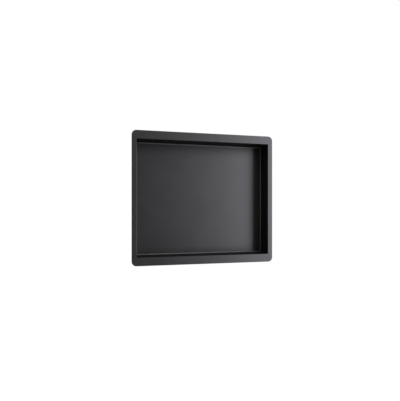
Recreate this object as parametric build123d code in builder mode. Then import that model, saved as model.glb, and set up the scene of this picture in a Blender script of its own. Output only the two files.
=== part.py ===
"""Shower niche insert: a folded steel tray with a flat flange welded round its mouth, coated black.

The niche is fixed into a tiled wall. +Z is up, the front faces -Y and the tray runs back along +Y.
Y = 0 is the rear of the flange, which lies on the tiles, and the origin is the middle of the opening there.
All lengths are in millimetres.
"""

import os

from build123d import *

os.makedirs("parts", exist_ok=True)

# Clear space inside the niche, its depth taken from the flange's front to the back panel
opening_width = 355.0
opening_height = 300.0
cavity_depth = 50.0

# Sheet that the tray is folded from and the flange is cut from, and the inside of its folds
sheet = 1.5
bend_radius = 4.0

# Flange around the mouth: its face at each side, and its face above and below
flange_side = 12.5
flange_rail = 21.5
flange_corner_radius = 12.0
outer_edge_radius = 0.7
mouth_edge_radius = 0.3

# Leg of the weld that runs round the tray behind the flange
weld_leg = 1.5

# Outside of the tray behind the tiles, where the sheet in front of them makes up for the back panel's
tray_width = opening_width + 2 * sheet
tray_height = opening_height + 2 * sheet
tray_depth = cavity_depth
tray_back = Plane.XZ.offset(-tray_depth)

# Outside of the flange
flange_width = opening_width + 2 * flange_side
flange_height = opening_height + 2 * flange_rail

with BuildPart() as niche_shell:
    # Back panel and four walls, folded along the panel's edges with mitred corners
    with BuildSketch(tray_back):
        Rectangle(tray_width, tray_height)
    extrude(amount=tray_depth)
    back_panel = niche_shell.faces().sort_by(Axis.Y)[-1]
    fillet(back_panel.edges(), radius=bend_radius + sheet)
    mouth = niche_shell.faces().sort_by(Axis.Y)[0]
    offset(amount=-sheet, openings=mouth)

    # Flange, welded on flush with the inside of the walls
    with BuildSketch(Plane.XZ):
        RectangleRounded(flange_width, flange_height, flange_corner_radius)
        Rectangle(opening_width, opening_height, mode=Mode.SUBTRACT)
    extrude(amount=sheet)

    # Weld where the outside of the walls meets the flange's rear
    flange_rear = niche_shell.faces().filter_by(Plane.XZ).sort_by(Axis.Y)[1]
    chamfer(flange_rear.inner_wires()[0].edges(), length=weld_leg)

    # Edges of the flange's front, rounded over before coating
    flange_front = niche_shell.faces().sort_by(Axis.Y)[0]
    fillet(flange_front.outer_wire().edges(), radius=outer_edge_radius)
    flange_front = niche_shell.faces().sort_by(Axis.Y)[0]
    fillet(flange_front.inner_wires()[0].edges(), radius=mouth_edge_radius)

niche_shell.part.label = "niche_shell"
export_step(niche_shell.part, "parts/niche_shell.step")
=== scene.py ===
"""Satin black shower niche: the coat on its folded steel shell, and the white studio around it.

Laid out as an add-on: settings hold the finish, the studio and the camera, one operator coats
the shell and one sets up the stage, and a panel in the sidebar lists them. Lengths are in metres,
in the part's frame: +Z up, the open front towards -Y, and the origin in the middle of the opening
behind the flange.
"""

import math

import bpy
from bpy.props import FloatProperty, FloatVectorProperty, PointerProperty
from bpy.types import Operator, Panel, PropertyGroup
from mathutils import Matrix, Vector


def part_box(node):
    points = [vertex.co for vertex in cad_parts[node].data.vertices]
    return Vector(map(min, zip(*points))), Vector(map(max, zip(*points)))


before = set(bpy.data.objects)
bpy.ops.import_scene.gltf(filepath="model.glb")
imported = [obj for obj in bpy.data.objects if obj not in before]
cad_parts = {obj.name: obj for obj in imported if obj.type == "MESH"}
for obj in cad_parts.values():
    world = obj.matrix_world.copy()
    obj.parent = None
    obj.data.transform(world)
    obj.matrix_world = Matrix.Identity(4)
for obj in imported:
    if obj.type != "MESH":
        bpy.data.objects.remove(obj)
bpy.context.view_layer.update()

bl_info = {
    "name": "Shower Niche Finish",
    "version": (1, 0, 0),
    "blender": (4, 5, 0),
    "location": "3D View > Sidebar > Niche",
    "description": "Coats a folded steel shower niche in satin black and sets it in a white studio",
    "category": "Object",
}

SHELL = "niche_shell"

# Width of the camera's sensor in millimetres, and the sides of a round studio board
SENSOR_WIDTH = 36.0
DISC_SIDES = 96

# Octaves of finer noise within the coat's patches, the sheet's waves and the coat's peel
PATCH_DETAIL = 3.0
WAVE_DETAIL = 1.0
PEEL_DETAIL = 2.0

front_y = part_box(SHELL)[0].y


class NicheCoat(PropertyGroup):
    """Powder coat on the shell."""

    colour: FloatVectorProperty(
        name="Colour",
        description="Colour of the coat where it lies thick",
        subtype="COLOR",
        size=3,
        min=0.0,
        max=1.0,
        default=(0.0655, 0.0655, 0.066),
    )
    thin_colour: FloatVectorProperty(
        name="Thin Colour",
        description="Colour where the coat lies thinner",
        subtype="COLOR",
        size=3,
        min=0.0,
        max=1.0,
        default=(0.0745, 0.0745, 0.0751),
    )
    edge_colour: FloatVectorProperty(
        name="Edge Colour",
        description="Tint of the coat where it is seen at a glancing angle",
        subtype="COLOR",
        size=3,
        min=0.0,
        max=1.0,
        default=(0.35, 0.35, 0.35),
    )
    roughness: FloatProperty(
        name="Roughness",
        description="Mean roughness of the satin surface",
        subtype="FACTOR",
        min=0.0,
        max=1.0,
        default=0.43,
    )
    roughness_spread: FloatProperty(
        name="Roughness Spread",
        description="How far the roughness strays from its mean in soft patches",
        subtype="FACTOR",
        min=0.0,
        max=0.3,
        default=0.03,
    )
    patch_size: FloatProperty(
        name="Patch Size",
        description="Size of the soft patches in the coat's sheen and colour",
        unit="LENGTH",
        min=0.001,
        default=0.045,
    )
    peel_size: FloatProperty(
        name="Peel Size",
        description="Distance between the fine ripples of the cured powder",
        unit="LENGTH",
        min=0.0001,
        default=0.0016,
    )
    peel_height: FloatProperty(
        name="Peel Height",
        description="Height of the fine ripples",
        unit="LENGTH",
        min=0.0,
        default=0.000006,
    )
    wave_size: FloatProperty(
        name="Wave Size",
        description="Distance between the shallow waves in the folded sheet",
        unit="LENGTH",
        min=0.01,
        default=0.13,
    )
    wave_height: FloatProperty(
        name="Wave Height",
        description="Height of the shallow waves",
        unit="LENGTH",
        min=0.0,
        default=0.00012,
    )


class NicheStage(PropertyGroup):
    """White studio with its floor, card and lights, and the camera."""

    backdrop_colour: FloatVectorProperty(
        name="Backdrop",
        description="Colour of the seamless backdrop around the niche",
        subtype="COLOR",
        size=3,
        min=0.0,
        max=1.0,
        default=(1.0, 1.0, 1.0),
    )
    floor_colour: FloatVectorProperty(
        name="Floor",
        description="Colour of the studio floor",
        subtype="COLOR",
        size=3,
        min=0.0,
        max=1.0,
        default=(0.97, 0.97, 0.97),
    )
    floor_drop: FloatProperty(
        name="Floor Drop",
        description="Height of the niche's middle above the floor, as it hangs in a wall",
        unit="LENGTH",
        min=0.2,
        default=1.1,
    )
    floor_radius: FloatProperty(
        name="Floor Radius",
        description="Radius of the round floor",
        unit="LENGTH",
        min=0.2,
        default=1.1,
    )
    floor_fade: FloatProperty(
        name="Floor Fade",
        description="Share of the floor's radius over which it fades into the backdrop",
        subtype="FACTOR",
        min=0.0,
        max=1.0,
        default=0.7,
    )
    floor_lead: FloatProperty(
        name="Floor Lead",
        description="How far the middle of the floor lies in front of the niche",
        unit="LENGTH",
        default=0.3,
    )
    card_colour: FloatVectorProperty(
        name="Card",
        description="Colour of the card that the coat mirrors to the left of the camera",
        subtype="COLOR",
        size=3,
        min=0.0,
        max=1.0,
        default=(0.13, 0.13, 0.13),
    )
    card_heading: FloatProperty(
        name="Card Heading",
        description="Angle of the card to the right of the niche's front",
        subtype="ANGLE",
        default=math.radians(-20),
    )
    card_height: FloatProperty(
        name="Card Height",
        description="Angle of the card's middle above the niche's middle",
        subtype="ANGLE",
        default=math.radians(-6),
    )
    card_distance: FloatProperty(
        name="Card Distance",
        description="Distance of the card from the niche",
        unit="LENGTH",
        min=0.5,
        default=1.6,
    )
    card_radius: FloatProperty(
        name="Card Radius",
        description="Radius of the round card",
        unit="LENGTH",
        min=0.1,
        default=1.6,
    )
    key_heading: FloatProperty(
        name="Key Heading",
        description="Angle of the key light to the right of the niche's front",
        subtype="ANGLE",
        default=math.radians(41),
    )
    key_height: FloatProperty(
        name="Key Height",
        description="Angle of the key light above the niche's middle",
        subtype="ANGLE",
        default=math.radians(6),
    )
    key_distance: FloatProperty(
        name="Key Distance",
        description="Distance of the key light from the niche",
        unit="LENGTH",
        min=0.5,
        default=1.8,
    )
    key_size: FloatVectorProperty(
        name="Key Size",
        description="Width and height of the key light",
        unit="LENGTH",
        size=2,
        min=0.05,
        default=(0.8, 2.0),
    )
    key_power: FloatProperty(
        name="Key Power",
        description="Power of the key light",
        unit="POWER",
        min=0.0,
        default=24.0,
    )
    key_colour: FloatVectorProperty(
        name="Key Colour",
        description="Colour of the key light",
        subtype="COLOR",
        size=3,
        min=0.0,
        max=1.0,
        default=(0.915, 0.9, 1.0),
    )
    top_heading: FloatProperty(
        name="Top Heading",
        description="Angle of the top light to the right of the niche's front",
        subtype="ANGLE",
        default=math.radians(15),
    )
    top_height: FloatProperty(
        name="Top Height",
        description="Angle of the top light above the niche's middle",
        subtype="ANGLE",
        default=math.radians(66),
    )
    top_distance: FloatProperty(
        name="Top Distance",
        description="Distance of the top light from the niche",
        unit="LENGTH",
        min=0.5,
        default=1.6,
    )
    top_size: FloatVectorProperty(
        name="Top Size",
        description="Width and depth of the top light",
        unit="LENGTH",
        size=2,
        min=0.05,
        default=(0.6, 0.6),
    )
    top_power: FloatProperty(
        name="Top Power",
        description="Power of the top light",
        unit="POWER",
        min=0.0,
        default=4.5,
    )
    top_colour: FloatVectorProperty(
        name="Top Colour",
        description="Colour of the top light",
        subtype="COLOR",
        size=3,
        min=0.0,
        max=1.0,
        default=(1.0, 1.0, 1.0),
    )
    back_heading: FloatProperty(
        name="Back Heading",
        description="Angle of the back light to the right of the niche's front",
        subtype="ANGLE",
        default=math.radians(150),
    )
    back_height: FloatProperty(
        name="Back Height",
        description="Angle of the back light above the niche's middle",
        subtype="ANGLE",
        default=math.radians(4),
    )
    back_distance: FloatProperty(
        name="Back Distance",
        description="Distance of the back light from the niche",
        unit="LENGTH",
        min=0.5,
        default=1.8,
    )
    back_size: FloatVectorProperty(
        name="Back Size",
        description="Width and height of the back light",
        unit="LENGTH",
        size=2,
        min=0.05,
        default=(0.8, 1.6),
    )
    back_power: FloatProperty(
        name="Back Power",
        description="Power of the back light",
        unit="POWER",
        min=0.0,
        default=9.0,
    )
    back_colour: FloatVectorProperty(
        name="Back Colour",
        description="Colour of the back light",
        subtype="COLOR",
        size=3,
        min=0.0,
        max=1.0,
        default=(1.0, 1.0, 1.0),
    )
    camera_heading: FloatProperty(
        name="Camera Heading",
        description="Angle by which the camera, standing to the left, looks to the right",
        subtype="ANGLE",
        default=math.radians(13.46),
    )
    camera_distance: FloatProperty(
        name="Camera Distance",
        description="Distance from the camera to the point of the flange's front that it looks at",
        unit="LENGTH",
        min=0.1,
        default=0.9384,
    )
    camera_aim: FloatVectorProperty(
        name="Camera Aim",
        description="Point of the flange's front that the camera looks at, across and up",
        unit="LENGTH",
        size=2,
        default=(-0.01403, -0.03033),
    )
    camera_angle: FloatProperty(
        name="Camera Angle",
        description="Angle of view from the bottom to the top of the picture",
        subtype="ANGLE",
        default=math.radians(58.4),
    )
    camera_rise: FloatProperty(
        name="Camera Rise",
        description="Rise of the picture above the camera's level axis, as a share of its height",
        default=0.02405,
    )


class NicheSettings(PropertyGroup):
    """All settings of the niche."""

    coat: PointerProperty(type=NicheCoat)
    stage: PointerProperty(type=NicheStage)


def add_node(tree, kind, place, **inputs):
    """New node of a kind at a place, with its named inputs set."""
    node = tree.nodes.new(kind)
    node.location = place
    for name, value in inputs.items():
        node.inputs[name.replace("_", " ")].default_value = value
    return node


def stand_by(thing, heading, height, distance):
    """Stand a thing at a heading from the front, facing the niche, unseen by the camera."""
    level = math.cos(height)
    way = Vector((math.sin(heading) * level, -math.cos(heading) * level, math.sin(height)))
    thing.location = way * distance
    thing.rotation_euler = way.to_track_quat("Z", "Y").to_euler()
    thing.visible_camera = False


def satin_coat(coat):
    """Near-black powder coat with soft patches, fine peel and the sheet's shallow waves."""
    material = bpy.data.materials.new("satin_black_coat")
    material.use_nodes = True
    tree = material.node_tree
    tree.nodes.clear()
    link = tree.links.new
    output = add_node(tree, "ShaderNodeOutputMaterial", (600, 0))
    shader = add_node(tree, "ShaderNodeBsdfPrincipled", (300, 0))
    shader.inputs["Metallic"].default_value = 1.0
    shader.inputs["Specular Tint"].default_value = (*coat.edge_colour, 1)
    link(shader.outputs["BSDF"], output.inputs["Surface"])
    place = add_node(tree, "ShaderNodeTexCoord", (-900, 0)).outputs["Object"]

    # Soft patches, where the coat is a little thinner and duller
    patches = add_node(
        tree, "ShaderNodeTexNoise", (-600, 250), Scale=1 / coat.patch_size, Detail=PATCH_DETAIL
    )
    link(place, patches.inputs["Vector"])
    tone = add_node(tree, "ShaderNodeValToRGB", (-300, 350))
    tone.color_ramp.elements[0].color = (*coat.colour, 1)
    tone.color_ramp.elements[1].color = (*coat.thin_colour, 1)
    link(patches.outputs["Fac"], tone.inputs["Fac"])
    link(tone.outputs["Color"], shader.inputs["Base Color"])
    dullness = add_node(
        tree,
        "ShaderNodeMapRange",
        (-300, 100),
        To_Min=coat.roughness - coat.roughness_spread,
        To_Max=coat.roughness + coat.roughness_spread,
    )
    link(patches.outputs["Fac"], dullness.inputs["Value"])
    link(dullness.outputs["Result"], shader.inputs["Roughness"])

    # Waves of the sheet, then the peel of the coat on top of them
    waves = add_node(
        tree, "ShaderNodeTexNoise", (-600, -150), Scale=1 / coat.wave_size, Detail=WAVE_DETAIL
    )
    peel = add_node(
        tree, "ShaderNodeTexNoise", (-600, -400), Scale=1 / coat.peel_size, Detail=PEEL_DETAIL
    )
    wave_bump = add_node(
        tree, "ShaderNodeBump", (-300, -150), Strength=1.0, Distance=coat.wave_height
    )
    peel_bump = add_node(
        tree, "ShaderNodeBump", (0, -250), Strength=1.0, Distance=coat.peel_height
    )
    for texture, bump in ((waves, wave_bump), (peel, peel_bump)):
        link(place, texture.inputs["Vector"])
        link(texture.outputs["Fac"], bump.inputs["Height"])
    link(wave_bump.outputs["Normal"], peel_bump.inputs["Normal"])
    link(peel_bump.outputs["Normal"], shader.inputs["Normal"])
    return material


def white_backdrop(stage):
    """Even white backdrop all around."""
    world = bpy.data.worlds.new("white_studio")
    world.use_nodes = True
    background = world.node_tree.nodes["Background"]
    background.inputs["Color"].default_value = (*stage.backdrop_colour, 1)
    bpy.context.scene.world = world


def matt_disc(name, radius, colour):
    """Round matt board of the studio."""
    bpy.ops.mesh.primitive_circle_add(vertices=DISC_SIDES, radius=radius, fill_type="NGON")
    disc = bpy.context.object
    disc.name = name
    material = bpy.data.materials.new(name)
    material.use_nodes = True
    shader = material.node_tree.nodes["Principled BSDF"]
    shader.inputs["Base Color"].default_value = (*colour, 1)
    shader.inputs["Roughness"].default_value = 1.0
    shader.inputs["Specular IOR Level"].default_value = 0.0
    disc.data.materials.append(material)
    return disc


def shade_card(stage):
    """Grey card in front of the niche, which the coat mirrors and the camera doesn't see."""
    card = matt_disc("shade_card", stage.card_radius, stage.card_colour)
    stand_by(card, stage.card_heading, stage.card_height, stage.card_distance)


def pale_floor(stage):
    """Round floor with a soft rim, well below the niche, as it hangs in a shower wall."""
    floor = matt_disc("studio_floor", stage.floor_radius, stage.floor_colour)
    floor.location = (0, -stage.floor_lead, -stage.floor_drop)
    tree = floor.active_material.node_tree
    place = add_node(tree, "ShaderNodeTexCoord", (-800, 0))
    span = add_node(tree, "ShaderNodeVectorMath", (-600, 0))
    span.operation = "LENGTH"
    fade = add_node(
        tree,
        "ShaderNodeMapRange",
        (-400, 0),
        From_Min=stage.floor_radius,
        From_Max=stage.floor_radius * (1 - stage.floor_fade),
    )
    fade.interpolation_type = "SMOOTHSTEP"
    tree.links.new(place.outputs["Object"], span.inputs[0])
    tree.links.new(span.outputs["Value"], fade.inputs["Value"])
    tree.links.new(fade.outputs["Result"], tree.nodes["Principled BSDF"].inputs["Alpha"])


def soft_light(name, heading, height, distance, size, power, colour):
    """Soft light around the niche, facing it."""
    light = bpy.data.lights.new(name, "AREA")
    light.shape = "RECTANGLE"
    light.size, light.size_y = size
    light.energy = power
    light.color = colour
    lamp = bpy.data.objects.new(name, light)
    stand_by(lamp, heading, height, distance)
    bpy.context.collection.objects.link(lamp)


def level_camera(stage):
    """Level camera to the left of the niche, looking at the flange's front."""
    data = bpy.data.cameras.new("camera")
    data.sensor_width = SENSOR_WIDTH
    data.lens = SENSOR_WIDTH / 2 / math.tan(stage.camera_angle / 2)
    data.shift_y = stage.camera_rise
    camera = bpy.data.objects.new("camera", data)
    across, up = stage.camera_aim
    way = Vector((math.sin(stage.camera_heading), math.cos(stage.camera_heading), 0))
    camera.location = Vector((across, front_y, up)) - way * stage.camera_distance
    camera.rotation_euler = way.to_track_quat("-Z", "Y").to_euler()
    bpy.context.collection.objects.link(camera)
    bpy.context.scene.camera = camera


class NICHE_OT_coat_shell(Operator):
    """Coat the folded shell in satin black"""

    bl_idname = "niche.coat_shell"
    bl_label = "Coat Shell"

    def execute(self, context):
        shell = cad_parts[SHELL]
        if not shell.material_slots:
            raise RuntimeError("The shell has no material slot to coat")
        coat = satin_coat(context.scene.niche.coat)
        for slot in shell.material_slots:
            slot.material = coat
        return {"FINISHED"}


class NICHE_OT_set_stage(Operator):
    """Set up the white studio, its card, its lights and the camera"""

    bl_idname = "niche.set_stage"
    bl_label = "Set Stage"

    def execute(self, context):
        stage = context.scene.niche.stage
        white_backdrop(stage)
        pale_floor(stage)
        shade_card(stage)
        parts = ("heading", "height", "distance", "size", "power", "colour")
        for name in ("key", "top", "back"):
            values = (getattr(stage, f"{name}_{part}") for part in parts)
            soft_light(f"{name}_light", *values)
        level_camera(stage)
        context.scene.view_settings.view_transform = "Standard"
        return {"FINISHED"}


class NICHE_PT_sidebar(Panel):
    """Settings and steps of the niche"""

    bl_idname = "NICHE_PT_sidebar"
    bl_label = "Shower Niche"
    bl_space_type = "VIEW_3D"
    bl_region_type = "UI"
    bl_category = "Niche"

    def draw(self, context):
        settings = context.scene.niche
        for group, step in (
            (settings.coat, NICHE_OT_coat_shell.bl_idname),
            (settings.stage, NICHE_OT_set_stage.bl_idname),
        ):
            column = self.layout.column(align=True)
            for name in group.__annotations__:
                column.prop(group, name)
            self.layout.operator(step)


CLASSES = (
    NicheCoat,
    NicheStage,
    NicheSettings,
    NICHE_OT_coat_shell,
    NICHE_OT_set_stage,
    NICHE_PT_sidebar,
)


def register():
    for cls in CLASSES:
        bpy.utils.register_class(cls)
    bpy.types.Scene.niche = PointerProperty(type=NicheSettings)


def unregister():
    del bpy.types.Scene.niche
    for cls in reversed(CLASSES):
        bpy.utils.unregister_class(cls)


def main():
    """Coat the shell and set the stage."""
    register()
    bpy.ops.niche.coat_shell()
    bpy.ops.niche.set_stage()


if __name__ == "__main__":
    main()
